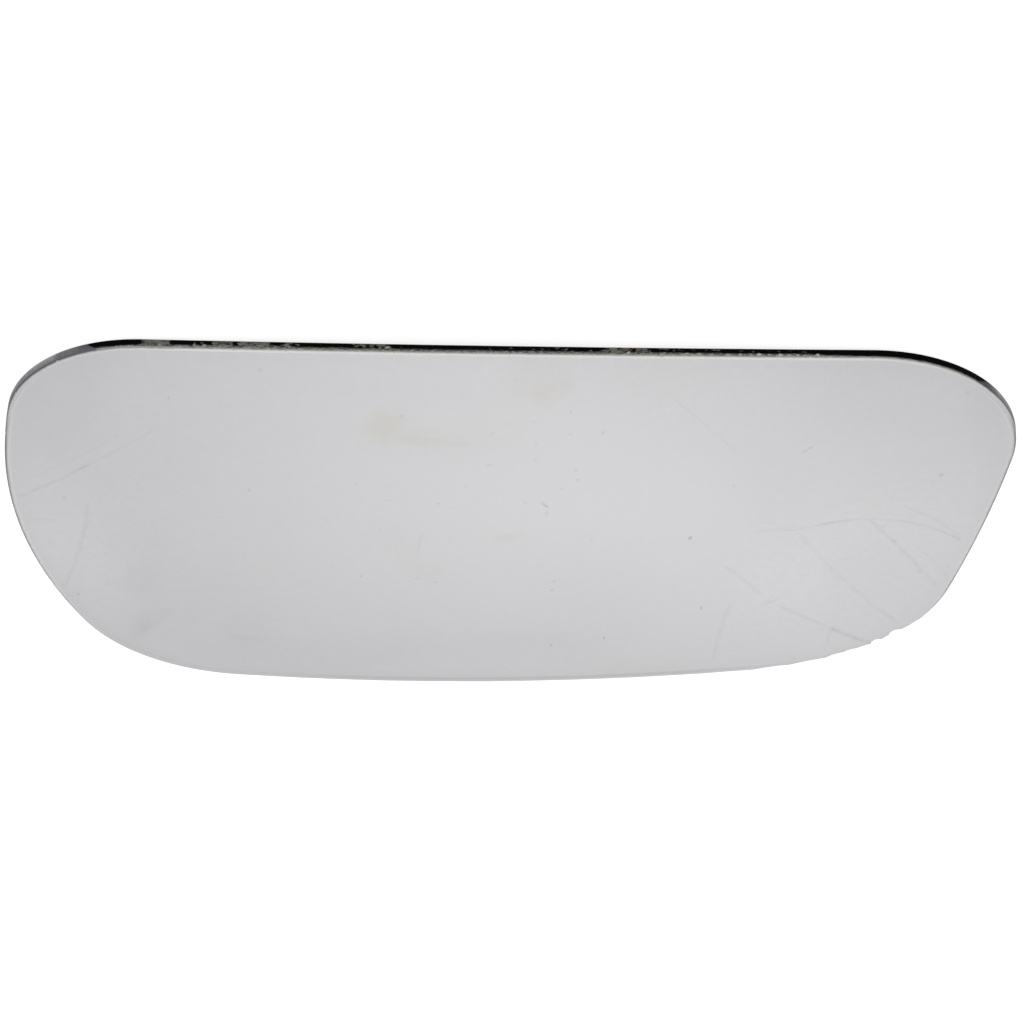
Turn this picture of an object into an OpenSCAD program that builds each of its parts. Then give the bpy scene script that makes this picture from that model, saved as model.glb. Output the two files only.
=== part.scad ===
// Convex door mirror glass: one sheet of bent glass, cut to a rounded outline, with seamed
// edges and a run of chips on its lower right corner.
// The sheet lies face up on the rim of its hollow back. X runs to the right as the driver
// sees the mirror, Y to its upper edge, and Z out of the reflecting face.

/* [Sheet] */
// Thickness of the glass
glass_t = 2.7; // [1.8:0.1:4]
// Radius of the convex reflecting face
face_r = 1300; // [900:10:1650]
// Height of the face's summit above the middle of the outline
summit_up = 6; // [-10:0.5:15]
// Leg of the seam ground along the front edge
front_seam = 0.4; // [0.2:0.05:0.8]
// Leg of the seam ground along the back edge
back_seam = 0.3; // [0.2:0.05:0.8]

/* [Corner radii] */
// Radius of the upper right corner
upper_right_r = 36.5; // [30:0.5:42]
// Radius of the upper left corner
upper_left_r = 32; // [26:0.5:38]
// Radius of the lower left corner
lower_left_r = 39.5; // [32:0.5:44]
// Radius of the lower right corner
lower_right_r = 44; // [38:0.5:50]

/* [Corner places] */
// Upper right corner's centre, to the right of the middle line
upper_right_out = 74.4; // [66:0.1:84]
// Upper right corner's centre, above the middle line
upper_right_up = 28; // [20:0.1:36]
// Upper left corner's centre, to the left of the middle line
upper_left_out = 77.2; // [68:0.1:86]
// Upper left corner's centre, above the middle line
upper_left_up = 36.2; // [28:0.1:42]
// Lower left corner's centre, to the left of the middle line
lower_left_out = 61.2; // [54:0.1:70]
// Lower left corner's centre, below the middle line
lower_left_down = 28.8; // [22:0.1:38]
// Lower right corner's centre, to the right of the middle line
lower_right_out = 56.6; // [50:0.1:64]
// Lower right corner's centre, below the middle line
lower_right_down = 21.2; // [14:0.1:28]

/* [Bowed sides] */
// Radius of the bow of the upper side
top_bow_r = 1080; // [600:10:2000]
// Radius of the bow of the left side
left_bow_r = 150; // [120:5:400]
// Radius of the bow of the lower side
bottom_bow_r = 830; // [500:10:2000]
// Radius of the bow of the right side
right_bow_r = 545; // [300:5:2000]

/* [Hidden] */

// Longest chord that stands for a piece of an arc, and the widest turn it takes
chord = 4;
chord_turn = 5;
// Height of the edge form above the summit and below the rim
overrun = 2;

// Corners as [right, up, radius], counter-clockwise, each followed by the bow that leaves it
corners = [
    [upper_right_out, upper_right_up, upper_right_r],
    [-upper_left_out, upper_left_up, upper_left_r],
    [-lower_left_out, -lower_left_down, lower_left_r],
    [lower_right_out, -lower_right_down, lower_right_r],
];
bows = [top_bow_r, left_bow_r, bottom_bow_r, right_bow_r];

// Chips on the lower right corner, as [bearing from the corner's centre, depth, radius of the scoop]
chips = [
    [-82, 1.15, 43],
    [-72.5, 1.6, 58.5],
    [-64, 1.9, 8.5],
    [-59.5, 2, 3.5],
    [-56.5, 1.65, 13.5],
    [-50, 2.05, 1.8],
    [-45.5, 1.35, 15],
    [-42.5, 2.1, 2.2],
    [-40, 0.9, 15],
    [-36, 0.65, 26.5],
];

function flat(p) = [p[0], p[1]];
function bearing(v) = atan2(v[1], v[0]);
function ray(angle) = [cos(angle), sin(angle)];

// Centre of the bow that holds two corner arcs inside it and touches both
function bow_centre(a, b, bow) =
    let (
        span = norm(flat(b) - flat(a)),
        u = (flat(b) - flat(a)) / span,
        from_a = bow - a[2],
        from_b = bow - b[2],
        along = (from_a * from_a - from_b * from_b + span * span) / (2 * span),
        across = sqrt(from_a * from_a - along * along)
    )
    flat(a) + along * u + across * [-u[1], u[0]];

// Points of an arc without its last one, as [point, outward direction]
function arc(centre, r, from, to) =
    let (
        turn = (to - from + 360) % 360,
        steps = ceil(max(turn / chord_turn, turn * PI / 180 * r / chord))
    )
    [for (i = [0:steps - 1]) let (n = ray(from + turn * i / steps)) [centre + r * n, n]];

bow_centres = [for (i = [0:3]) bow_centre(corners[i], corners[(i + 1) % 4], bows[i])];

drawn_outline = [
    for (i = [0:3])
        let (
            here = flat(corners[i]),
            next = flat(corners[(i + 1) % 4]),
            arriving = bearing(here - bow_centres[(i + 3) % 4]),
            leaving = bearing(here - bow_centres[i]),
            landing = bearing(next - bow_centres[i])
        )
        each concat(
            arc(here, corners[i][2], arriving, leaving),
            arc(bow_centres[i], bows[i], leaving, landing)
        )
];

// The origin stands under the middle of the outline's box
xs = [for (p = drawn_outline) p[0][0]];
ys = [for (p = drawn_outline) p[0][1]];
middle = [min(xs) + max(xs), min(ys) + max(ys)] / 2;
outline = [for (p = drawn_outline) [p[0] - middle, p[1]]];
sides = len(outline);

// Height on a sphere of radius r under the summit, at a plan point
function fall(p, r) = let (d = p - [0, summit_up]) r - sqrt(r * r - d * d);

// The lowest point of the ground back edge rests on Z = 0
back_r = face_r - glass_t;
summit_z = glass_t + max([for (p = outline) fall(p[0] - back_seam * p[1], back_r)]);

function face_z(p) = summit_z - fall(p, face_r);
function back_z(p) = summit_z - glass_t - fall(p, back_r);

// One ring of the edge form: the outline drawn in, at the heights that the edge has there
function ring(inset, heights) =
    [for (i = [0:sides - 1]) let (p = outline[i][0] - inset * outline[i][1]) [p[0], p[1], heights[i]]];

// A block as wide as the outline, whose wall and seams follow the bent sheet's two edges
module edge_form() {
    wall_top = [for (p = outline) face_z(p[0]) - front_seam];
    wall_foot = [for (p = outline) back_z(p[0]) + back_seam];
    front_reach = 2 * front_seam;
    back_reach = 2 * back_seam;
    level = [for (p = outline) 1];
    rings = [
        ring(back_reach, -overrun * level),
        ring(back_reach, wall_foot - back_reach * level),
        ring(0, wall_foot),
        ring(0, wall_top),
        ring(front_reach, wall_top + front_reach * level),
        ring(front_reach, (summit_z + overrun) * level),
    ];
    walls = [
        for (k = [0:len(rings) - 2], i = [0:sides - 1])
            let (a = k * sides + i, b = k * sides + (i + 1) % sides)
            each [[a, a + sides, b + sides], [a, b + sides, b]]
    ];
    foot = [for (i = [0:sides - 1]) i];
    head = [for (i = [sides - 1:-1:0]) (len(rings) - 1) * sides + i];
    polyhedron(points = [for (r = rings) each r], faces = concat(walls, [foot, head]));
}

// A ball under the summit, turned so that its poles lie away from the sheet
module bending_ball(r) {
    translate([0, summit_up, summit_z - face_r])
        rotate([90, 0, 0])
        sphere(r = r, $fn = 360);
}

// Each chip is a shell-shaped scoop, deepest at the face
module edge_chips() {
    corner = flat(corners[3]) - middle;
    for (chip = chips) {
        rim = corner + lower_right_r * ray(chip[0]);
        out = corner + (lower_right_r - chip[1] + chip[2]) * ray(chip[0]);
        translate([out[0], out[1], face_z(rim)])
            sphere(r = chip[2], $fn = 64);
    }
}

module mirror_glass() {
    color("lightsteelblue")
        difference() {
            intersection() {
                bending_ball(face_r);
                edge_form();
            }
            bending_ball(back_r);
            edge_chips();
        }
}

mirror_glass();
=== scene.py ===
import math
import random

import bmesh
import bpy
from mathutils import Matrix, Vector, kdtree, noise


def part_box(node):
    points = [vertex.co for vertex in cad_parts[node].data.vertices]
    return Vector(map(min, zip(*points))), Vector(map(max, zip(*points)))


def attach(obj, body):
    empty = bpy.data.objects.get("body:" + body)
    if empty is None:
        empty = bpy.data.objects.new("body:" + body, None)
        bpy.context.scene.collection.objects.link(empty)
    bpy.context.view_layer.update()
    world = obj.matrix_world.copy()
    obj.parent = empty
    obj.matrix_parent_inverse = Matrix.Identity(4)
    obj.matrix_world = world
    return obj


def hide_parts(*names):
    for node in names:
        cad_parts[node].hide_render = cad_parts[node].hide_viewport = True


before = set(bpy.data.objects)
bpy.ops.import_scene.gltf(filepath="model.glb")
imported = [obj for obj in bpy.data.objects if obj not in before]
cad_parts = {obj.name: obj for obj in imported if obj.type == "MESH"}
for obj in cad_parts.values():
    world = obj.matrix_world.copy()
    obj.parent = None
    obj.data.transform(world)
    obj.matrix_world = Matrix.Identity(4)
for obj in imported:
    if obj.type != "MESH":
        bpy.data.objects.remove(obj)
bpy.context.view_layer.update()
_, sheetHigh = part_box("mirror_glass")
mm = 0.001


# Shader maths

class Flow:  # one output socket, so that a mask can be written as a sum
    def __init__(self, tree, socket):
        self.tree = tree
        self.socket = socket

    def maths(self, operation, *others, clamp=False):
        settings = {"operation": operation, "use_clamp": clamp}
        return addNode(self.tree, "ShaderNodeMath", settings, self, *others)

    def output(self, index):
        return Flow(self.tree, self.socket.node.outputs[index])

    def __add__(self, other):
        return self.maths("ADD", other)

    def __radd__(self, other):
        return self.maths("ADD", other)

    def __sub__(self, other):
        return self.maths("SUBTRACT", other)

    def __rsub__(self, other):
        return self.maths("MULTIPLY_ADD", -1.0, other)

    def __mul__(self, other):
        return self.maths("MULTIPLY", other)

    def __rmul__(self, other):
        return self.maths("MULTIPLY", other)

    def __truediv__(self, other):
        return self.maths("DIVIDE", other)


def addNode(tree, kind, settings, *inputs, out=0, **named):
    node = tree.nodes.new(kind)
    for name, value in settings.items():
        setattr(node, name, value)
    filled = list(zip([s for s in node.inputs if s.enabled], inputs))
    filled += [(node.inputs[name.replace("_", " ")], value) for name, value in named.items()]
    for socket, value in filled:
        if isinstance(value, Flow):
            tree.links.new(value.socket, socket)
        else:
            socket.default_value = value
    return Flow(tree, node.outputs[out])


def ramp(value, low, high):  # rises from 0 at low to 1 at high, and falls where high is below low
    smooth = {"interpolation_type": "SMOOTHSTEP"}
    return addNode(value.tree, "ShaderNodeMapRange", smooth, value, low, high, 0.0, 1.0)


def band(value, middle, half, soft):  # 1 within half of the middle, fading out over soft
    return ramp((value - middle).maths("ABSOLUTE"), half + soft, half)


def mixColours(share, a, b):
    return addNode(share.tree, "ShaderNodeMix", {"data_type": "RGBA"}, share, a, b, out=2)


def grain(place, size, detail=3.0, rough=0.5, turn=0, shift=(0, 0, 0), out=0):  # size is in mm, each way
    moved = addNode(place.tree, "ShaderNodeMapping", {"vector_type": "TEXTURE"}, place, Scale=size,
                    Location=shift, Rotation=(0, 0, math.radians(turn)))
    return addNode(place.tree, "ShaderNodeTexNoise", {}, Vector=moved, Scale=1.0, Detail=detail,
                   Roughness=rough, out=out)


def vectorMaths(vector, operation, *others, out=0, **named):
    settings = {"operation": operation}
    return addNode(vector.tree, "ShaderNodeVectorMath", settings, vector, *others, out=out, **named)


def parts(vector):
    x = addNode(vector.tree, "ShaderNodeSeparateXYZ", {}, vector)
    return x, x.output(1), x.output(2)


def startMaterial(name):
    material = bpy.data.materials.new(name)
    material.use_nodes = True
    tree = material.node_tree
    place = addNode(tree, "ShaderNodeTexCoord", {}, out=3)
    return material, tree.nodes["Principled BSDF"], vectorMaths(place, "SCALE", Scale=1000.0)  # in mm


def feed(shader, **values):
    for name, value in values.items():
        socket = shader.inputs[name.replace("_", " ")]
        if isinstance(value, Flow):
            value.tree.links.new(value.socket, socket)
        else:
            socket.default_value = value


def bump(height, distance, strength):
    return addNode(height.tree, "ShaderNodeBump", {}, Strength=strength, Distance=distance, Height=height)


# Camera

shot = {
    "slant": 58,  # degrees away from straight on to the face
    "distance": 1500 * mm,
    "aim": (0.125 * mm, 5.715 * mm, 5.538 * mm),
    "frameWidth": 225.77 * mm,  # what the picture takes in at the aim
    "sensor": 36,
    "nearest": 50 * mm,  # nothing closer than this or beyond the farthest is drawn
    "farthest": 50,
}


def placeCamera():
    slant = math.radians(shot["slant"])
    back = Vector((0, math.sin(slant), math.cos(slant)))
    up = Vector((0, math.cos(slant), -math.sin(slant)))  # the upper edge is the near one, and shows on top
    camera = bpy.data.objects.new("camera", bpy.data.cameras.new("camera"))
    bpy.context.scene.collection.objects.link(camera)
    turn = Matrix((Vector((1, 0, 0)), up, back)).transposed().to_4x4()
    camera.matrix_world = Matrix.Translation(Vector(shot["aim"]) + shot["distance"] * back) @ turn
    camera.data.sensor_width = shot["sensor"]
    camera.data.lens = shot["sensor"] * shot["distance"] / shot["frameWidth"]
    camera.data.clip_start = shot["nearest"]
    camera.data.clip_end = shot["farthest"]
    bpy.context.scene.camera = camera


placeCamera()
print("camera placed")


# The sheet's form

glass = {
    "thickness": 2.7 * mm,
    "faceRadius": 1300 * mm,
    "summitUp": 6 * mm,  # the summit lies this far above the middle of the outline
    "frontSeam": 0.4 * mm,
    "backSeam": 0.3 * mm,
    # right, up and radius of each corner arc, then the radius of the bow that leaves it, counter-clockwise
    "corners": [
        (74.4 * mm, 28 * mm, 36.5 * mm, 1080 * mm),
        (-77.2 * mm, 36.2 * mm, 32 * mm, 150 * mm),
        (-61.2 * mm, -28.8 * mm, 39.5 * mm, 830 * mm),
        (56.6 * mm, -21.2 * mm, 44 * mm, 545 * mm),
    ],
    "rimStep": 0.8 * mm,
    "wallRows": 4,
    "gridStep": 5 * mm,
    "flatLean": 0.9,  # a face whose normal rises or drops by more than this is on the front or the back
    "wallLean": 0.3,  # and one with less than this is on the wall
    "seamWaver": 0.07 * mm,  # the hand-ground seam is a little wider here and narrower there
    "seamWaverLength": 6 * mm,
    "creaseAngle": 28,  # degrees, past which an edge stays sharp to the eye
}


def bowCentre(a, b, bow):
    ax, ay, ar = a[:3]
    bx, by, br = b[:3]
    span = math.hypot(bx - ax, by - ay)
    ux, uy = (bx - ax) / span, (by - ay) / span
    fromA, fromB = bow - ar, bow - br
    along = (fromA ** 2 - fromB ** 2 + span ** 2) / (2 * span)
    across = math.sqrt(fromA ** 2 - along ** 2)
    return Vector((ax + along * ux - across * uy, ay + along * uy + across * ux))


def arcPoints(centre, radius, start, end):
    turn = (end - start) % (2 * math.pi)
    steps = math.ceil(turn * radius / glass["rimStep"])
    angles = [start + turn * i / steps for i in range(steps)]
    return [centre + radius * Vector((math.cos(a), math.sin(a))) for a in angles]


def bearing(v):
    return math.atan2(v.y, v.x)


def outlinePoints():
    corners = glass["corners"]
    bows = [bowCentre(corners[i], corners[(i + 1) % 4], corners[i][3]) for i in range(4)]
    points = []
    for i, (x, y, radius, bow) in enumerate(corners):
        here, following = Vector((x, y)), Vector(corners[(i + 1) % 4][:2])
        points += arcPoints(here, radius, bearing(here - bows[i - 1]), bearing(here - bows[i]))
        points += arcPoints(bows[i], bow, bearing(here - bows[i]), bearing(following - bows[i]))
    xs, ys = [p.x for p in points], [p.y for p in points]
    middle = Vector((min(xs) + max(xs), min(ys) + max(ys))) / 2
    return [p - middle for p in points], middle


outline, outlineMiddle = outlinePoints()


def fall(x, y, radius):
    return radius - math.sqrt(radius ** 2 - x ** 2 - (y - glass["summitUp"]) ** 2)


backRadius = glass["faceRadius"] - glass["thickness"]
summitZ = sheetHigh.z


def faceZ(x, y):
    return summitZ - fall(x, y, glass["faceRadius"])


def backZ(x, y):
    return summitZ - glass["thickness"] - fall(x, y, backRadius)


def startEdit(piece):
    bpy.ops.object.select_all(action="DESELECT")
    piece.select_set(True)
    bpy.context.view_layer.objects.active = piece
    bpy.ops.object.mode_set(mode="EDIT")
    bpy.ops.mesh.select_mode(type="FACE")
    bpy.ops.mesh.select_all(action="DESELECT")


def selectFaces(piece, test):
    shape = bmesh.from_edit_mesh(piece.data)
    for face in shape.faces:
        face.select_set(test(face))
    shape.select_flush_mode()
    bmesh.update_edit_mesh(piece.data)


def isFront(face):
    return face.normal.z > glass["flatLean"]


def isBack(face):
    return face.normal.z < -glass["flatLean"]


def makeFlatSheet():
    bpy.ops.object.select_all(action="DESELECT")
    bpy.ops.mesh.primitive_circle_add(vertices=len(outline), radius=sheetHigh.x, fill_type="NGON")
    piece = bpy.context.active_object
    piece.name = "mirrorSheet"
    for vertex, point in zip(piece.data.vertices, outline):
        vertex.co = (point.x, point.y, 0)
    startEdit(piece)
    bpy.ops.mesh.select_all(action="SELECT")
    rise = glass["thickness"] / glass["wallRows"]
    for _ in range(glass["wallRows"]):
        bpy.ops.mesh.extrude_region_move(TRANSFORM_OT_translate={"value": (0, 0, rise)})
    bpy.ops.mesh.select_all(action="SELECT")
    bpy.ops.mesh.normals_make_consistent(inside=False)
    return piece


def grindSeams(piece):
    for test, leg in ((isFront, glass["frontSeam"]), (isBack, glass["backSeam"])):
        bpy.ops.mesh.select_mode(type="EDGE")
        shape = bmesh.from_edit_mesh(piece.data)
        for edge in shape.edges:
            edge.select_set(sum(test(f) for f in edge.link_faces) == 1)
        bmesh.update_edit_mesh(piece.data)
        bpy.ops.mesh.bevel(offset_type="OFFSET", offset=leg, segments=1, affect="EDGES")
    shape = bmesh.from_edit_mesh(piece.data)
    for vertex in shape.verts:
        if vertex.co.z > glass["thickness"] - 0.01 * mm:
            outward = Vector((vertex.normal.x, vertex.normal.y, 0)).normalized()
            vertex.co += outward * glass["seamWaver"] * noise.noise(vertex.co / glass["seamWaverLength"])
    bmesh.update_edit_mesh(piece.data)


def gridFaces(piece):  # strips both ways, so that the flat faces can follow the bend
    bpy.ops.mesh.select_mode(type="FACE")
    step = glass["gridStep"]
    for test in (isFront, isBack):
        for reach, normal in ((sheetHigh.x, (1, 0, 0)), (sheetHigh.y, (0, 1, 0))):
            count = math.floor(reach / step)
            for k in range(-count, count + 1):
                selectFaces(piece, test)
                bpy.ops.mesh.bisect(plane_co=[k * step * n for n in normal], plane_no=normal)


def bendSheet(piece):
    shape = bmesh.from_edit_mesh(piece.data)
    for vertex in shape.verts:
        x, y, z = vertex.co
        share = z / glass["thickness"]
        vertex.co.z = backZ(x, y) + share * (faceZ(x, y) - backZ(x, y))
    bmesh.update_edit_mesh(piece.data)


sheet = makeFlatSheet()
grindSeams(sheet)
gridFaces(sheet)
bendSheet(sheet)
bpy.ops.object.mode_set(mode="OBJECT")
print("sheet bent", len(sheet.data.polygons), "faces", [round(v, 5) for v in sheet.dimensions])


# The silvered face

silver = {
    "colour": (0.78, 0.78, 0.797, 1),
    "roughness": 0.035,
    "dullness": 0.5,  # how much rougher a mark is
    "scratchColour": (0.30, 0.30, 0.32, 1),
    "stainColour": (0.66, 0.62, 0.42, 1),
    "speckColour": (0.12, 0.10, 0.06, 1),
    "hazeColour": (0.87, 0.87, 0.885, 1),
    "unevenness": 0.05,  # how much the film of dirt varies the shine
    "mottle": 0.085,  # and how much its small blotches do
    "mottleInHaze": 2.5,  # how many times stronger they get in the hazes
    "fineDust": 0.02,
    "coarseDust": 0.035,
    # how far the marks stray from clean lines and ovals, mm
    "scratchStray": 0.7,
    "stainStray": 6,
    "smearStray": 3,
    "scratchEnds": 14,  # how suddenly a scratch begins and ends
    # what lies along the rim: its strength, how far in it is, mm, and the heights between which it grows
    "rimFilm": 0.035,  # dirt
    "rimFilmReach": 8,
    "lowerFilm": 0.02,  # and how much more of it along the lower edge
    "lowerFilmHeights": (-40, -55),
    "lowerLine": 0.19,  # the dark line there
    "lowerLineIn": 1.75,
    "lowerLineHeights": (-45, -55),
    "lowerLineStretch": (5, 35, 25),  # where it is darkest: middle, half length and fade, mm
    "rimTarnish": 0.34,  # dull coat on both sides
    "rimTarnishReach": (0.85, 0.45),
    "rimRing": 0.6,  # the paler ring inside it
    "rimRingIn": 1.05,
    "sideHeights": (60, 46),
    # start and end right and up of the middle, bow to the left, width, all in mm, and strength
    "scratches": [
        (-109.3, 7, -92, 23, -0.3, 0.8, 0.11),
        (-95, 20, -77.5, 37.7, -0.2, 0.6, 0.07),
        (-107, 14.5, -84, 36.5, -0.6, 0.6, 0.04),
        (-93.2, 9, -101.2, -32, 1.3, 0.8, 0.085),
        (-107, -1.5, -100.4, -1.2, 0, 0.9, 0.06),
        (-64.1, -49.2, -56.9, -51, -0.2, 1.3, 0.05),
        (-84.5, -49.5, -77.2, -37.2, -0.8, 1.9, 0.05),
        (-19.5, -0.4, -20.7, -9.9, 0, 0.6, 0.08),
        (54.3, 2.7, 66.4, -0.4, -0.5, 0.7, 0.05),
        (54.4, -1.6, 63.4, -1.8, 0.4, 0.7, 0.06),
        (62.5, -1.8, 72.6, 1.2, -0.3, 0.7, 0.08),
        (66.4, -0.4, 101.5, -10.8, 6.3, 0.8, 0.11),
        (85.6, 7.1, 101.2, -10.3, 1.8, 0.8, 0.08),
        (79.2, 2.3, 97.2, -31, 0.6, 0.9, 0.085),
        (91, -11, 99.5, -27, 0.3, 0.7, 0.05),
        (63.4, -1.8, 88.8, -46.8, -0.8, 0.8, 0.06),
        (47.9, -15.9, 57.1, -30.4, 0.4, 0.8, 0.075),
        (60.2, -34.1, 82.9, -55, -0.3, 0.9, 0.1),
        (72.5, -46, 82.9, -55, -0.2, 1.1, 0.11),
        (57.3, -34.1, 62.1, -31.2, 0, 0.9, 0.08),
        (50.2, -31.7, 46.6, -61.5, -0.5, 0.8, 0.085),
        (73, -54.4, 74.5, -44.9, 0.7, 0.7, 0.09),
        (84.3, -39.4, 89.2, -46.6, 0.3, 0.7, 0.07),
        (33, 55.5, 51, 28.5, 0.5, 0.6, 0.04),
    ],
    # right, up, half width, half height, turn in degrees, strength
    "specks": [
        (7.9, 11.1, 1.1, 0.4, -50, 0.2),
        (7.2, 12.4, 0.6, 0.5, -30, 0.06),
        (8.2, 7.7, 0.5, 1, 0, 0.08),
        (14.6, 25.4, 0.45, 0.6, 0, 0.08),
        (15.1, 21.4, 0.35, 0.6, 0, 0.08),
        (20.3, 39.9, 0.3, 0.6, 0, 0.12),
        (5.8, 35.8, 0.4, 0.6, 0, 0.06),
        (-3.5, 40.1, 0.4, 0.5, 0, 0.06),
        (-23.2, 46.3, 0.4, 0.6, 0, 0.08),
        (9.6, -25.4, 0.4, 0.6, 0, 0.12),
        (10, -21.4, 0.3, 0.5, 0, 0.12),
        (18.2, -3.6, 0.4, 0.5, 0, 0.06),
        (9.5, -51, 0.3, 0.6, 0, 0.16),
        (21.6, -47.9, 0.3, 0.6, 0, 0.2),
        (-33.3, -19.8, 0.3, 0.6, 0, 0.1),
        (-28.7, 0.4, 0.3, 0.5, 0, 0.08),
        (40.2, -3.5, 0.45, 0.8, -10, 0.24),
        (43.4, -34.8, 0.4, 0.8, 0, 0.18),
        (64.4, 30.5, 0.8, 0.45, 40, 0.1),
        (65.6, 31.6, 0.6, 0.4, 40, 0.12),
        (92.3, -22.8, 0.5, 0.8, 0, 0.09),
        (85.8, -8.6, 0.7, 0.6, -30, 0.07),
        (83.1, -1.9, 0.4, 0.6, 0, 0.06),
        (98.5, -20.7, 0.5, 0.8, 0, 0.05),
        (65.2, -59.9, 0.5, 0.6, 0, 0.08),
        (-20.8, -20.5, 0.5, 0.5, 0, 0.06),
        (-16.8, -22, 0.6, 0.4, 0, 0.08),
        (-33.6, 19.2, 0.5, 0.5, 0, 0.06),
        (-26.3, 12.7, 0.8, 0.4, 0, 0.05),
        (-15.8, 11.8, 0.6, 0.5, 0, 0.06),
        (-9.7, 18.8, 0.5, 0.6, 0, 0.05),
        (-4.5, 27.4, 0.8, 0.5, 0, 0.06),
        (5.6, 29.2, 0.4, 0.7, 0, 0.07),
        (3.5, 12.4, 0.6, 0.4, 0, 0.08),
        (11.5, 18, 0.5, 0.5, 0, 0.07),
        (13.3, 48, 0.4, 0.7, 0, 0.08),
        (13.3, 39.5, 0.4, 0.5, 0, 0.07),
        (5.5, 44.3, 0.7, 0.4, 0, 0.06),
        (94.9, 18.1, 0.5, 0.8, 0, 0.12),
        (49.4, 17.6, 0.25, 0.5, 0, 0.1),
        (98.9, 49.8, 0.4, 0.7, 0, 0.08),
        (-98.5, 8.3, 0.5, 0.7, 0, 0.1),
        (-57.3, 15.5, 0.35, 0.6, 0, 0.12),
        (-97.7, -33.5, 0.25, 0.6, 0, 0.18),
        (-73.5, 50.4, 0.25, 0.6, 0, 0.1),
        (-53.4, 62.2, 0.3, 0.5, 0, 0.1),
    ],
    # dried drops and runs: right, up, half width, half height, turn, strength
    "stains": [
        (-27.3, 42.8, 3.6, 5.2, -20, 0.12),
        (-25, 41.5, 6.5, 7, -20, 0.05),
        (-16.5, 36.2, 7.5, 1.5, -4, 0.09),
        (-14, 37.5, 11, 5, -8, 0.04),
        (-4, 42, 8, 8, 0, 0.03),
        (6.5, 61, 6.8, 10, 0, 0.075),
        (7.5, 54.5, 3.2, 3.5, 0, 0.07),
        (12, 58, 1.6, 2, 0, 0.07),
        (-18.5, -17.5, 4, 4.5, 10, 0.08),
        (-23, -11.5, 4, 3, -30, 0.04),
        (-0.5, -2, 4, 2, 0, 0.1),
        (30, -62.5, 10, 4, 0, 0.06),
        (32, 61, 10, 6, 0, 0.03),
    ],
    # wiped places where the shine is lower: right, up, half width, half height, turn, strength
    "cleanest": [(15, 10, 60, 45, 0, 0.6)],
    "smears": [
        (-84, -47.5, 2.2, 6, -18, 0.085),
        (-80, -43, 7, 8, 0, 0.02),
        (-83, -26, 4, 7, -20, 0.04),
        (-100, -36, 5, 6, 0, 0.025),
        (-97, 42.5, 9, 16, -20, 0.05),
        (-60, -45.5, 6, 8, 0, 0.03),
        (-26, -2.5, 7, 5, -20, 0.02),
        (-20, 33.5, 14, 6, -8, 0.02),
        (84, 20.5, 12, 24, 18, 0.02),
        (104, 38.5, 4, 24, 10, 0.04),
        (-90, 62.5, 10, 6, 30, 0.03),
        (-72, -31.5, 18, 16, 0, 0.03),
        (-106, 50.5, 6, 8, 0, 0.04),
        (78, 60.5, 12, 6, 0, 0.02),
        (-84, 24, 18, 34, -20, 0.018),
        (-85, 59, 18, 6, 0, 0.02),
        (-85, -11, 10, 13, 0, 0.025),
        (59, 18, 9, 18, 0, 0.025),
        (102, 38, 7, 14, 0, 0.025),
        (19, -31, 12, 26, 0, 0.026),
        (80, -20, 8, 10, 0, 0.03),
        (-48, -56, 26, 8, 0, 0.04),
        (8, -52, 14, 8, 0, 0.02),
        (-12, -50, 22, 6, 0, 0.02),
        (78, 50, 18, 14, 0, 0.02),
    ],
    # places where fine scratches make it paler: right, up, half width, half height, turn, strength
    "hazes": [
        (66, -35.5, 18, 24, 0, 0.22),
        (86, -13.5, 16, 14, 0, 0.14),
        (80, 12.5, 16, 20, 0, 0.1),
        (-96, -11.5, 10, 26, 15, 0.2),
        (88, 3, 13, 12, 0, 0.12),
        (62, -24, 8, 20, 0, 0.14),
        (-38, -18, 22, 32, 0, 0.11),
        (20, 66, 40, 24, 0, 0.2),
        (-97, -18, 8, 16, 20, 0.1),
        (-16, 70, 40, 8, 0, 0.18),
    ],
    # areas crossed by fine hairlines: right, up, half width, half height, turn of the lines, strength
    "hairlines": [
        (74, -23.5, 30, 34, -52, 0.035),
        (82, -12, 30, 34, -12, 0.025),
        (66, -29.5, 26, 30, 58, 0.025),
        (90, 10, 22, 18, 25, 0.03),
        (92, 4, 20, 20, -35, 0.03),
        (-92, 10.5, 22, 40, 46, 0.035),
        (-92, -19.5, 22, 36, -75, 0.025),
        (0, 0.5, 120, 80, 12, 0.008),
    ],
}


def scratchMask(place, x0, y0, x1, y1, bow, width, strength):
    across, rise = x1 - x0, y1 - y0
    length = math.hypot(across, rise)
    local = vectorMaths(place, "SUBTRACT", (x0, y0, 0))
    along = vectorMaths(local, "DOT_PRODUCT", (across / length ** 2, rise / length ** 2, 0), out=1)
    off = vectorMaths(local, "DOT_PRODUCT", (-rise / length ** 2, across / length ** 2, 0), out=1)
    arch = along - along * along
    off = (off - arch * (4 * bow / length)).maths("ABSOLUTE")
    line = (off * (-length / width)).maths("ADD", 1.0, clamp=True)
    ends = (arch * silver["scratchEnds"] * strength).maths("MINIMUM", strength)
    return line * ends.maths("MAXIMUM", 0.0)


def spotMask(place, x, y, halfWidth, halfHeight, turn, strength, soft):
    local = vectorMaths(place, "SUBTRACT", (x, y, 0))
    if turn:
        local = addNode(place.tree, "ShaderNodeVectorRotate", {"rotation_type": "Z_AXIS"}, local,
                        Angle=-math.radians(turn))
    local = vectorMaths(local, "MULTIPLY", (1 / halfWidth, 1 / halfHeight, 0))
    return ramp(vectorMaths(local, "LENGTH", out=1), 1 + soft, 1 - soft) * strength


def rimDistance(tree):  # mm in from the outline
    return addNode(tree, "ShaderNodeAttribute", {"attribute_name": "rimDistance"}, out=2)


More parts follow.
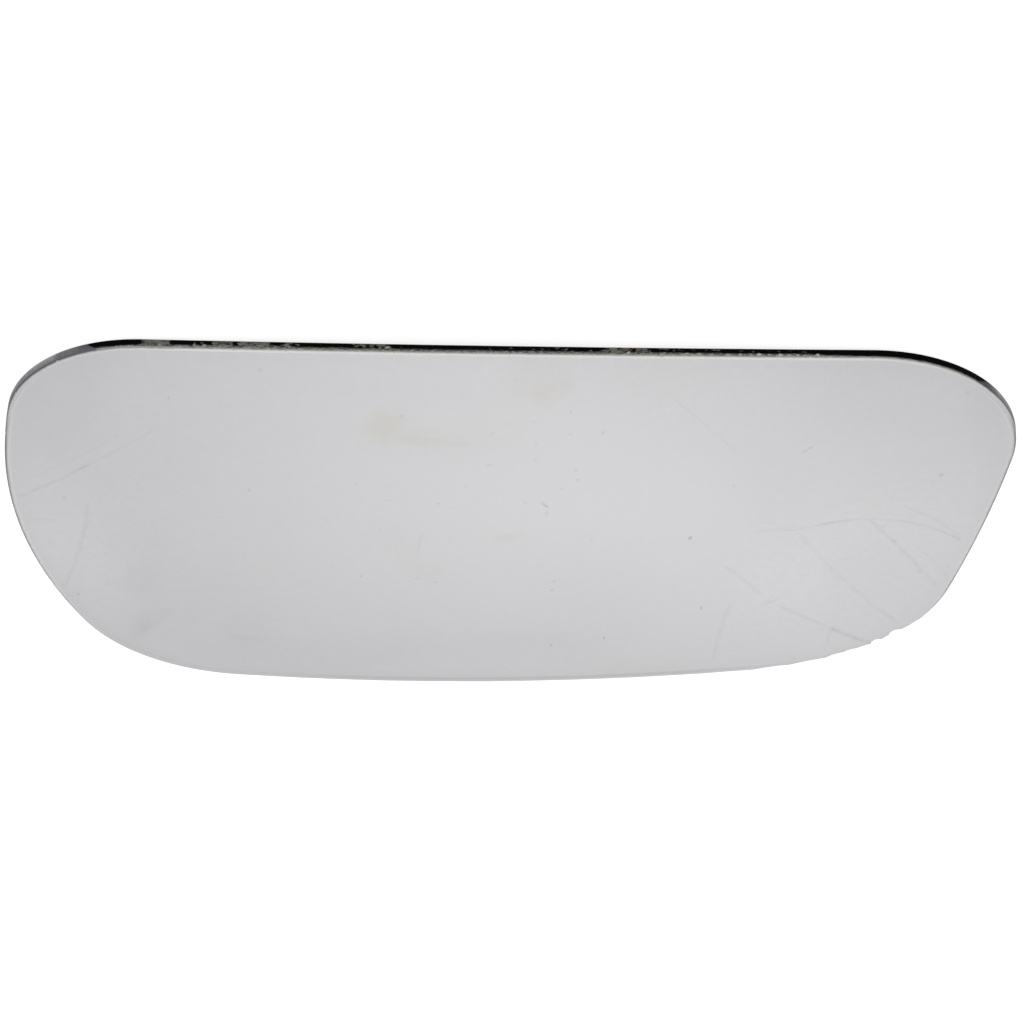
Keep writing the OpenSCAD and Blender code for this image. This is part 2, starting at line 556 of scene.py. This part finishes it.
def together(masks):
    total = next(masks)
    for mask in masks:
        total = total + mask
    return total


def shiftedBy(place, wobble, reach):  # so that marks aren't quite straight or round
    around = vectorMaths(wobble, "SUBTRACT", (0.5, 0.5, 0.5))
    return vectorMaths(around, "MULTIPLY_ADD", (reach, reach, 0), place)


def hairlineMask(place, x, y, halfWidth, halfHeight, turn, strength):
    fine = grain(place, (4, 0.5, 1), detail=1, turn=turn, shift=(x, y, 0))
    return ramp(fine, 0.54, 0.72) * spotMask(place, x, y, halfWidth, halfHeight, 0, strength, 0.6)


def scratchedShare(flat, wavy):  # scratches of uneven depth
    depth = ramp(grain(flat, (4, 4, 1), detail=5, rough=0.7), 0.3, 0.7) * 0.9 + 0.5
    return together(scratchMask(wavy, *s) for s in silver["scratches"]) * depth


def filmShare(flat, haze):  # the film of dirt over the whole face, thinnest where it was wiped
    film = (grain(flat, (22, 22, 1), detail=5, rough=0.65) - 0.5) * silver["unevenness"]
    mottle = (grain(flat, (2.8, 2.8, 1), detail=4, rough=0.65) - 0.45) * silver["mottle"]
    cleanAndPaintedLight = together(spotMask(flat, *s, soft=0.8) for s in silver["cleanest"])
    return film + mottle * (haze * silver["mottleInHaze"] - cleanAndPaintedLight + 1)


def rimDirt(flat, right, up, rim):  # film and tarnish, and the dark lower line
    film = ramp(up, *silver["lowerFilmHeights"]) * silver["lowerFilm"] + silver["rimFilm"]
    dirt = ramp(rim, silver["rimFilmReach"], 0.0) * film
    beside = ramp(up, 45, 20) * ramp(up, -50, -30) * 0.7 + 0.3  # full along the middle of each side
    ragged = rim + (grain(flat, (1.2, 1.2, 1), detail=2) - 0.5) * 0.6
    tarnish = ramp(ragged, *silver["rimTarnishReach"]) * ramp(up, *silver["sideHeights"])
    dirt = dirt + tarnish * beside * silver["rimTarnish"]
    line = band(rim, silver["lowerLineIn"], 0.4, 0.7) * ramp(up, *silver["lowerLineHeights"])
    return dirt + line * (band(right, *silver["lowerLineStretch"]) * 0.75 + 0.25) * silver["lowerLine"]


def paleRing(right, up, rim):  # weaker low down and at the right
    ring = band(rim, silver["rimRingIn"], 0.12, 0.3) * ramp(up, *silver["sideHeights"])
    fade = (ramp(up, -50, -25) * 0.7 + 0.3) * (ramp(right, 60, 20) * 0.5 + 0.5)
    return ring * fade * silver["rimRing"]


def dustShare(flat):
    fine = ramp(grain(flat, (0.4, 0.4, 1), detail=0), 0.74, 0.82)
    coarse = ramp(grain(flat, (1.2, 1, 1), detail=1, shift=(3, 8, 0)), 0.67, 0.76)
    return fine * silver["fineDust"] + coarse * silver["coarseDust"]


def makeSilveredFace():
    material, shader, place = startMaterial("silveredFace")
    flat = vectorMaths(place, "MULTIPLY", (1, 1, 0))
    wavy = shiftedBy(flat, grain(flat, (3, 3, 3), out=1), silver["scratchStray"])
    worn = scratchedShare(flat, wavy)
    specks = together(spotMask(wavy, *s, soft=0.5) for s in silver["specks"])
    worn = worn + together(hairlineMask(wavy, *s) for s in silver["hairlines"])
    blotchy = shiftedBy(flat, grain(flat, (6, 6, 6), detail=5, out=1), silver["stainStray"])
    stains = together(spotMask(blotchy, *s, soft=0.6) for s in silver["stains"])
    smudged = shiftedBy(flat, grain(flat, (5, 5, 5), detail=5, out=1), silver["smearStray"])
    worn = worn + together(spotMask(smudged, *s, soft=0.7) for s in silver["smears"])
    haze = together(spotMask(blotchy, *s, soft=0.8) for s in silver["hazes"])
    worn = worn + filmShare(flat, haze)
    right, up, _ = parts(flat)
    rim = rimDistance(place.tree)
    worn = worn + rimDirt(flat, right, up, rim)
    worn = (worn + dustShare(flat)).maths("MAXIMUM", 0.0)
    haze = haze + paleRing(right, up, rim)
    colour = mixColours(haze, silver["colour"], silver["hazeColour"])
    colour = mixColours(stains, colour, silver["stainColour"])
    colour = mixColours(worn, colour, silver["scratchColour"])
    colour = mixColours(specks, colour, silver["speckColour"])
    fine = grain(flat, (0.35, 0.35, 1), detail=2)
    feed(shader, Base_Color=colour, Metallic=1.0,
         Roughness=(worn + specks + stains) * silver["dullness"] + silver["roughness"],
         Normal=bump(fine, distance=0.002 * mm, strength=0.2))
    return material


# The ground edge

edge = {
    "paleColour": (0.24, 0.242, 0.252, 1),  # bare ground glass at the back, with painted light as if it mirrored the bright floor
    "bareColour": (0.145, 0.147, 0.156, 1),
    "shadeColour": (0.078, 0.079, 0.086, 1),  # painted shade along the seam
    "thinPaintAndShadeColour": (0.062, 0.06, 0.068, 1),  # the thinned paint beyond both ends of the black, and painted shade at the left end where the wall turns
    "mottleColour": (0.082, 0.085, 0.074, 1),  # thin paint over ground glass
    "warmColour": (0.082, 0.07, 0.063, 1),
    "darkColour": (0.018, 0.019, 0.017, 1),
    "arrisColour": (0.3, 0.3, 0.296, 1),  # where the wall meets the seam
    "fleckColour": (0.42, 0.42, 0.4, 1),
    "paintColour": (0.001, 0.001, 0.001, 1),
    # painted light: the seam's bright tone along the upper edge
    "seamPaintedLightColour": (0.47, 0.47, 0.465, 1),
    "cornerPaintedLightColour": (0.42, 0.422, 0.427, 1),  # painted light on the seam round both upper corners, and on the wall's right end
    "seamDullColour": (0.16, 0.161, 0.164, 1),
    "seamPaleColour": (0.33, 0.33, 0.33, 1),  # along the lower edge
    "paintHeight": 1.43,  # mm above the back
    "paintHeightLeft": 0.3,  # how much further it laps beyond the stretch leftRise
    "leftRise": (-76, -82),
    "paintHeightRight": 0.4,
    "rightRise": (60, 78),
    "paintWaver": 0.3,
    "paintLeft": -90,  # the paint laps onto the edge between these two, mm
    "paintRight": 102.6,
    "smokyLeft": 7,  # how far the thinned paint, with painted shade at the left, goes on, mm
    "smokyRight": 3.5,
    "darkPatch": (101, 3, 4),  # middle, half length and fade of a darker stretch at the right
    "endPaintedLight": (104.5, 108),  # painted light: both ends of the edge, where the wall turns sideways, are lighter from here to there
    "arrisHighlightFrom": (97, 101),  # and the right end, polished along its seam, has a painted highlight there for the rounded arris
    "warmFrom": (-40, -20),  # the worn paint is warmer in tone from here on
    # the seam along the face: the stretches over which its tone changes, with painted light bright along
    # the upper edge
    "seamPaintedLightFrom": (30, 42),  # up of the middle
    "seamPaleFrom": (-25, -50),
    "seamCornerFrom": (62, 92),  # away from the middle, to both sides
    "seamLeftEnd": (-66, -76),  # its painted lit part is narrower beyond this
    # where the paint is worn: from, to, mm, and how much of it has come off
    "wornStretches": [
        (-78.6, -77.4, 0.6),
        (-77.4, -72.5, 0.95),
        (-63.7, -59.2, 0.85),
        (-59.2, -57.7, 0.3),
        (-57.7, -51.1, 0.85),
        (-51.1, -44.7, 0.45),
        (-44.7, -33.6, 0.1),
        (-33.6, -25.5, 0.5),
        (-25.5, 6.5, 0.15),
        (6.5, 19.3, 0.3),
        (19.3, 30, 0.55),
        (30, 45, 0.3),
        (45, 68, 0.15),
    ],
    "fleckedTo": 66,  # the small light flecks end here
    # larger flecks: right, height on the edge, half length, half height, turn, strength
    "flecks": [
        (-67.3, 1.4, 0.3, 0.45, 0, 0.22),
        (-65.2, 1.5, 0.45, 0.4, 0, 0.25),
        (-26.1, 1.2, 0.4, 0.3, 0, 0.35),
        (25.5, 1.5, 0.35, 0.3, 0, 0.45),
        (33.1, 1.6, 0.4, 0.2, 0, 0.25),
        (38, 1.6, 0.5, 0.2, 0, 0.4),
        (40.5, 1.7, 0.5, 0.2, 0, 0.3),
        (43.5, 1.65, 0.3, 0.2, 0, 0.25),
        (46.6, 1.7, 0.45, 0.2, 0, 0.35),
        (49.4, 1.65, 0.4, 0.25, 0, 0.35),
        (51.8, 1.65, 0.3, 0.2, 0, 0.25),
        (53.5, 1.65, 0.55, 0.25, 0, 0.55),
        (55.6, 1.7, 0.35, 0.2, 0, 0.3),
        (58, 1.65, 0.45, 0.25, 0, 0.5),
        (59.9, 1.7, 0.35, 0.2, 0, 0.3),
        (61.7, 1.7, 0.35, 0.22, 0, 0.45),
        (63.3, 1.7, 0.3, 0.2, 0, 0.25),
        (66, 1.7, 0.45, 0.25, 0, 0.55),
    ],
}


def heightOnEdge(place):  # mm above the hollow back, measured on the bent sheet
    x, y, z = parts(place)
    fromSummit = y - glass["summitUp"] / mm
    drop = (x * x + fromSummit * fromSummit) / (2 * backRadius / mm)
    return x, y, z + drop - (summitZ - glass["thickness"]) / mm


def paintedLength(x, height):  # 1 where the paint laps round, with pointed ends
    middle = (edge["paintLeft"] + edge["paintRight"]) / 2
    half = (edge["paintRight"] - edge["paintLeft"]) / 2
    return ramp((x - middle).maths("ABSOLUTE") + (height - 0.6).maths("ABSOLUTE") * 1.5, half + 0.9, half)


def paintMask(place, x, height):
    ragged = grain(place, (2.2, 2.2, 0.8), detail=4, rough=0.6) - 0.5
    lap = ragged * (2 * edge["paintWaver"]) + edge["paintHeight"]
    lap = lap + ramp(x, *edge["rightRise"]) * edge["paintHeightRight"]
    lap = lap + ramp(x, *edge["leftRise"]) * edge["paintHeightLeft"]
    worn = together(band(x, (start + end) / 2, (end - start) / 2 - 0.8, 1.6) * share
                    for start, end, share in edge["wornStretches"])
    film = grain(place, (1.5, 1.5, 0.7), detail=3, shift=(7, 3, 0)) - worn * 0.42
    return ramp(film, 0.24, 0.32) * ramp(lap - height, -0.25, 0.2) * paintedLength(x, height)


# thinned paint beyond the ends of the black, and painted shade darkening the bare wall at the left end
def thinPaintAndShadeShare(x, height):
    left, right = edge["paintLeft"], edge["paintRight"]
    leftEnd = left - edge["smokyLeft"]
    smoky = ramp(x, leftEnd - 1, leftEnd) * (ramp(x, left - 5, left) * 0.4 + 0.55)
    smoky = smoky * ramp(x, right + edge["smokyRight"], right)
    return smoky * (ramp(height, 1.3, 0.3) * 0.25 + 1)


def makeBareEdge(place, x, height):
    patchy = grain(place, (1.5, 1.5, 1), detail=3, rough=0.6) - 0.5
    # painted light and shade: lighter towards the back, darker along the seam, with a patchy tone
    bare = mixColours(ramp(height + patchy * 1.2, 0.2, 1.3), edge["paleColour"], edge["bareColour"])
    streaks = grain(place, (0.5, 0.5, 2.5), detail=3, rough=0.6, shift=(1, 6, 2))
    bare = mixColours(ramp(streaks, 0.5, 0.7) * 0.35, bare, edge["arrisColour"])
    # thinned paint, and painted shade at the left end
    bare = mixColours(thinPaintAndShadeShare(x, height), bare, edge["thinPaintAndShadeColour"])
    # painted shade along the seam
    bare = mixColours(ramp(height + patchy * 0.4, 1.6, 1.95), bare, edge["shadeColour"])
    bare = mixColours(band(x, *edge["darkPatch"]) * 0.2, bare, edge["darkColour"])
    # painted light towards the back of the wall at both ends
    endPaintedLight = ramp(x.maths("ABSOLUTE"), *edge["endPaintedLight"]) * ramp(height, 1.3, 0.5) * 0.45
    bare = mixColours(endPaintedLight, bare, edge["arrisColour"])
    # painted highlight: the top of the wall at the right end takes the seam's lit tone
    arrisHighlight = ramp(height + ramp(x, *edge["endPaintedLight"]) * 0.1, 2.1, 2.35) * ramp(x, *edge["arrisHighlightFrom"])
    return mixColours(arrisHighlight, bare, edge["cornerPaintedLightColour"])


def makeWornPaint(place, x, height):
    speckled = grain(place, (1.4, 1.4, 0.4), detail=4, rough=0.75, shift=(2, 9, 4))
    warmth = ramp(x, *edge["warmFrom"]) * ramp(grain(place, (12, 12, 12), detail=1), 0.35, 0.6)
    worn = mixColours(warmth, edge["mottleColour"], edge["warmColour"])
    worn = mixColours(ramp(speckled, 0.38, 0.57), edge["darkColour"], worn)
    flecks = ramp(grain(place, (0.75, 0.75, 0.35), detail=3, rough=0.7, shift=(5, 1, 8)), 0.5, 0.66) * 0.3
    flecks = flecks * band(height, 1.75, 0.3, 0.5) * ramp(x, edge["fleckedTo"] + 8, edge["fleckedTo"])
    worn = mixColours(ramp(height + speckled * 0.5 - 0.25, 1.55, 2.65), worn, edge["arrisColour"])
    return mixColours(flecks, worn, edge["fleckColour"])


def makeGroundEdge():
    material, shader, place = startMaterial("groundEdge")
    x, _, height = heightOnEdge(place)
    brushed = grain(place, (9, 9, 0.12), detail=3)
    worn = makeWornPaint(place, x, height)
    colour = mixColours(paintedLength(x, height), makeBareEdge(place, x, height), worn)
    paint = paintMask(place, x, height)
    colour = mixColours(paint, colour, edge["paintColour"])
    onEdge = addNode(place.tree, "ShaderNodeCombineXYZ", {}, x, height)
    onEdge = shiftedBy(onEdge, grain(place, (0.8, 0.8, 0.4), detail=3, rough=0.7, out=1), 0.9)
    larger = together(spotMask(onEdge, *s, soft=0.5) for s in edge["flecks"])
    feed(shader, Base_Color=mixColours(larger, colour, edge["fleckColour"]), Roughness=0.6 - paint * 0.15,
         Normal=bump(brushed + paint * 0.5, distance=0.04 * mm, strength=0.4))
    feed(shader, Specular_IOR_Level=0.01)
    return material


def makeGroundSeam():
    material, shader, place = startMaterial("groundSeam")
    x, y, height = heightOnEdge(place)
    uneven = grain(place, (1.1, 1.1, 1.1), detail=4, rough=0.65)
    # painted light: the upper part of the seam along the upper edge is bright, the rest dull
    cleanAndPaintedLight = ramp(height + uneven * 0.25 - ramp(x, *edge["seamLeftEnd"]) * 0.12, 2.3, 2.6)
    cleanAndPaintedLight = cleanAndPaintedLight * ramp(y, *edge["seamPaintedLightFrom"])
    fine = grain(place, (0.18, 0.18, 0.18), detail=2)
    dull = mixColours(ramp(y, *edge["seamPaleFrom"]), edge["seamDullColour"], edge["seamPaleColour"])
    atCorner = ramp(x.maths("ABSOLUTE"), *edge["seamCornerFrom"])
    bright = mixColours(atCorner, edge["seamPaintedLightColour"], edge["cornerPaintedLightColour"])
    feed(shader, Base_Color=mixColours(cleanAndPaintedLight, dull, bright),
         Roughness=fine * 0.3 + 0.35, Normal=bump(fine, distance=0.02 * mm, strength=0.4))
    feed(shader, Specular_IOR_Level=0.3)
    return material


# The painted back

backCoat = {
    "colour": (0.022, 0.022, 0.024, 1),
    "thinColour": (0.045, 0.044, 0.042, 1),
    "rubColour": (0.12, 0.12, 0.12, 1),
    "rimColour": (0.16, 0.16, 0.162, 1),  # the back seam, where the paint is rubbed off
}


def makePaintedBack():
    material, shader, place = startMaterial("paintedBack")
    flow = grain(place, (11, 11, 11), detail=4)
    peel = grain(place, (0.6, 0.6, 0.6), detail=2)
    rubs = ramp(grain(place, (25, 0.6, 1), detail=2, turn=35), 0.66, 0.74)
    colour = mixColours(ramp(flow, 0.35, 0.7), backCoat["colour"], backCoat["thinColour"])
    colour = mixColours(rubs * 0.5, colour, backCoat["rubColour"])
    bareRim = ramp(rimDistance(place.tree) + flow * 0.4, 0.5, 0.3)
    bareRim = bareRim * ramp(grain(place, (4, 4, 4), detail=4), 0.4, 0.55)
    feed(shader, Base_Color=mixColours(bareRim, colour, backCoat["rimColour"]), Roughness=peel * 0.2 + 0.32,
         Normal=bump(peel, distance=0.08 * mm, strength=0.5))
    return material


# Chips

chips = {
    "corner": 3,  # in the list of corners
    # bearing from the corner's middle, depth and radius of the scoop, mm
    "scoops": [
        (-82, 1.15, 43),
        (-72.5, 1.6, 58.5),
        (-64, 1.9, 8.5),
        (-59.5, 2, 3.5),
        (-56.5, 1.65, 13.5),
        (-50, 2.05, 1.8),
        (-45.5, 1.35, 15),
        (-42.5, 2.1, 2.2),
        (-40, 0.9, 15),
        (-36, 0.65, 26.5),
    ],
    "ballLevel": 5,
    "ripple": 0.006,  # height of the rings, as a share of the scoop's radius
    "ripplePitch": 0.2,
    "rippleFade": 0.3,  # how fast they die away from the blow
    "rippleFrom": 10 * mm,  # a wider scoop has no higher rings than one of this radius
    "nicks": 70,  # small flakes off the front edge
    "nickRadius": (0.25 * mm, 0.7 * mm),
    "nickDepth": (0.05 * mm, 0.17 * mm),
    "nickLevel": (0.5, 1.1),  # how far down the seam they sit, as a share of it
    "nickBallLevel": 2,
    "fineRings": 7,  # rings in the gloss: how close, and how far they wander
    "fineRingsWander": 4,
    "colour": (0.26, 0.28, 0.275, 1),
    "paleColour": (0.42, 0.44, 0.435, 1),
    "seed": 11,
}


def chipPlaces():
    x, y, radius, _ = glass["corners"][chips["corner"]]
    corner = Vector((x, y)) - outlineMiddle
    for angle, depth, scoop in chips["scoops"]:
        outward = Vector((math.cos(math.radians(angle)), math.sin(math.radians(angle))))
        rim = corner + radius * outward
        centre = corner + (radius - depth * mm + scoop * mm) * outward
        yield rim, centre, faceZ(*rim), scoop * mm


def makeChippedGlass():
    material, shader, place = startMaterial("chippedGlass")
    nearest = None
    for rim, _, level, _ in chipPlaces():
        point = (rim.x / mm, rim.y / mm, level / mm)
        reach = vectorMaths(place, "DISTANCE", point, out=1)
        nearest = nearest.maths("MINIMUM", reach) if nearest else reach
    ring = nearest * chips["fineRings"] + grain(place, (2, 2, 2)) * chips["fineRingsWander"]
    milky = grain(place, (1.4, 1.4, 1.4), detail=5, rough=0.65)
    feed(shader, Base_Color=mixColours(ramp(milky, 0.4, 0.7), chips["colour"], chips["paleColour"]),
         Roughness=milky * 0.25 + 0.05, Normal=bump(ring.maths("SINE"), distance=0.03 * mm, strength=0.5))
    feed(shader, Coat_Weight=0.6, Coat_Roughness=0.05)
    return material


def addBall(centre, radius, level, material):
    bpy.ops.object.select_all(action="DESELECT")
    bpy.ops.mesh.primitive_ico_sphere_add(subdivisions=level, radius=radius, location=centre)
    ball = bpy.context.active_object
    bpy.ops.object.transform_apply(location=True)
    ball.data.materials.append(material)
    return ball


def rippleBall(ball, centre, impact, radius):  # the rings that a blow leaves in glass
    for vertex in ball.data.vertices:
        out = (vertex.co - centre).normalized()
        reach = (vertex.co - impact).length / (chips["ripplePitch"] * radius)
        fade = 1 / (1 + chips["rippleFade"] * reach)
        height = chips["ripple"] * min(radius, chips["rippleFrom"])
        vertex.co += out * height * fade * math.sin(2 * math.pi * reach)


def addScoops(material):
    balls = []
    for rim, centre, level, scoop in chipPlaces():
        middle = Vector((*centre, level))
        ball = addBall(middle, scoop, chips["ballLevel"], material)
        rippleBall(ball, middle, Vector((*rim, level)), scoop)
        balls.append(ball)
    return balls


def addNicks(material):
    balls = []
    dice = random.Random(chips["seed"])
    for _ in range(chips["nicks"]):
        i = dice.randrange(len(outline))
        rim, tangent = outline[i], outline[(i + 1) % len(outline)] - outline[i - 1]
        outward = Vector((tangent.y, -tangent.x)).normalized()
        radius, depth = dice.uniform(*chips["nickRadius"]), dice.uniform(*chips["nickDepth"])
        level = faceZ(*rim) - glass["frontSeam"] * dice.uniform(*chips["nickLevel"])
        lift = Vector((outward.x, outward.y, 1)).normalized() * (radius - depth)
        balls.append(addBall(Vector((*rim, level)) + lift, radius, chips["nickBallLevel"], material))
    return balls


def chipSheet(piece):
    cutGlass = makeChippedGlass()
    balls = addScoops(cutGlass) + addNicks(cutGlass)
    bpy.ops.object.select_all(action="DESELECT")
    for ball in balls:
        ball.select_set(True)
    bpy.context.view_layer.objects.active = balls[0]
    bpy.ops.object.join()
    bites = balls[0]
    bpy.ops.object.select_all(action="DESELECT")
    bpy.context.view_layer.objects.active = piece
    cut = piece.modifiers.new("bites", "BOOLEAN")
    cut.operation = "DIFFERENCE"
    cut.solver = "EXACT"
    cut.use_self = True
    cut.material_mode = "TRANSFER"
    cut.object = bites
    bpy.ops.object.modifier_apply(modifier=cut.name)
    bpy.data.objects.remove(bites)


def coverSheet(piece):
    for make in (makeSilveredFace, makeGroundEdge, makeGroundSeam, makePaintedBack):
        piece.data.materials.append(make())
    for face in piece.data.polygons:
        if isFront(face):
            face.material_index = 0
        elif face.normal.z > glass["wallLean"]:
            face.material_index = 2
        elif face.normal.z > -glass["wallLean"]:
            face.material_index = 1
        else:
            face.material_index = 3


def measureRim(piece):  # how far each point of the sheet is in from the outline, for the dirt along the rim
    tree = kdtree.KDTree(len(outline))
    for i, point in enumerate(outline):
        tree.insert((*point, 0), i)
    tree.balance()
    distance = piece.data.attributes.new("rimDistance", "FLOAT", "POINT")
    for i, vertex in enumerate(piece.data.vertices):
        distance.data[i].value = tree.find((vertex.co.x, vertex.co.y, 0))[2] / mm


coverSheet(sheet)
chipSheet(sheet)
measureRim(sheet)
bpy.context.view_layer.objects.active = sheet
sheet.select_set(True)
bpy.ops.object.shade_smooth_by_angle(angle=math.radians(glass["creaseAngle"]))
print("edge chipped and covered", len(sheet.data.polygons), "faces")

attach(sheet, "root")
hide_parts("mirror_glass")


# Floor and light

studio = {
    "floorSize": 12,
    "floorDrop": 0.02 * mm,  # below the glass, so that the two don't share a plane
    "floorColour": (0.45, 0.45, 0.45, 1),
    "floorGlow": 0.75,  # the floor is a light table, so the shadows stay faint
    "lightColour": (1, 0.998, 0.996, 1),
    "ambient": 0.676,
    "horizon": 0.95,
    "horizonHeight": 0.32,  # it fades into the ambient light at this height, as a sine
    "lobe": 0.17,  # the oval glow that the face mirrors, on top of the ambient light
    "lobeSpread": (72, 33),
    "lobeTurn": 44,
    "lobeShift": (0.032, 0.012),
    # broad soft lights round the studio: bearing from the right, height, width in degrees, strength
    "softLights": [
        (-101, 29, 3.5, 0.045),
        (-20, 45, 22, 0.16),
        (50, 38, 26, 0.2),
        (170, 40, 24, 0.16),
        (20, 76, 20, 0.16),
    ],
    "keyStrength": 1.8,
    "keyAngle": 25,  # how wide the key light is, which softens its shadow
    "keySlant": 56,  # it comes from the camera's side, so the shadow falls behind the glass
}


def layFloor():
    bpy.ops.object.select_all(action="DESELECT")
    bpy.ops.mesh.primitive_plane_add(size=studio["floorSize"], location=(0, 0, -studio["floorDrop"]))
    floor = bpy.context.active_object
    floor.name = "floor"
    bpy.ops.object.transform_apply(location=True)
    material, shader, place = startMaterial("floorPaper")
    fibre = grain(place, (50, 50, 50), detail=2)
    feed(shader, Base_Color=studio["floorColour"], Roughness=0.9,
         Normal=bump(fibre, distance=0.05 * mm, strength=0.1))
    feed(shader, Emission_Color=(1, 1, 1, 1), Emission_Strength=studio["floorGlow"])
    floor.data.materials.append(material)


def mirroredLight(direction):  # an oval glow beyond the glass, turned a little, that its face mirrors
    slant = math.radians(shot["slant"])
    axes = ((1, 0, 0), (0, math.cos(slant), math.sin(slant)), (0, -math.sin(slant), math.cos(slant)))
    side, rise, ahead = [vectorMaths(direction, "DOT_PRODUCT", a, out=1) for a in axes]
    side, rise = side - studio["lobeShift"][0], rise - studio["lobeShift"][1]
    turn = math.radians(studio["lobeTurn"])
    steep = side * math.cos(turn) + rise * math.sin(turn)
    gentle = rise * math.cos(turn) - side * math.sin(turn)
    spread = steep * steep * studio["lobeSpread"][0] + gentle * gentle * studio["lobeSpread"][1]
    return (spread * -1).maths("EXPONENT") * studio["lobe"] * ramp(ahead, 0.0, 0.3)


def lightStudio():
    world = bpy.data.worlds.new("studio")
    world.use_nodes = True
    bpy.context.scene.world = world
    tree = world.node_tree
    direction = addNode(tree, "ShaderNodeTexCoord", {})
    light = mirroredLight(direction)
    for around, up, width, strength in studio["softLights"]:
        around, up = math.radians(around), math.radians(up)
        aim = (math.cos(up) * math.cos(around), math.cos(up) * math.sin(around), math.sin(up))
        nearness = vectorMaths(direction, "DOT_PRODUCT", aim, out=1)
        light = light + ((nearness - 1) * (2 / math.radians(width) ** 2)).maths("EXPONENT") * strength
    _, _, height = parts(direction)
    horizon = ramp(height, studio["horizonHeight"], 0.0) * (studio["horizon"] - studio["ambient"])
    background = tree.nodes["Background"]
    tree.links.new((light + horizon + studio["ambient"]).socket, background.inputs["Strength"])
    background.inputs["Color"].default_value = studio["lightColour"]


def addKeyLight():
    key = bpy.data.objects.new("key", bpy.data.lights.new("key", "SUN"))
    bpy.context.scene.collection.objects.link(key)
    key.data.energy = studio["keyStrength"]
    key.data.angle = math.radians(studio["keyAngle"])
    key.rotation_euler = (-math.radians(studio["keySlant"]), 0, 0)
    key.visible_glossy = False  # the face mirrors only the soft light


layFloor()
lightStudio()
addKeyLight()
bpy.context.scene.view_settings.view_transform = "Standard"
print("floor and light set")
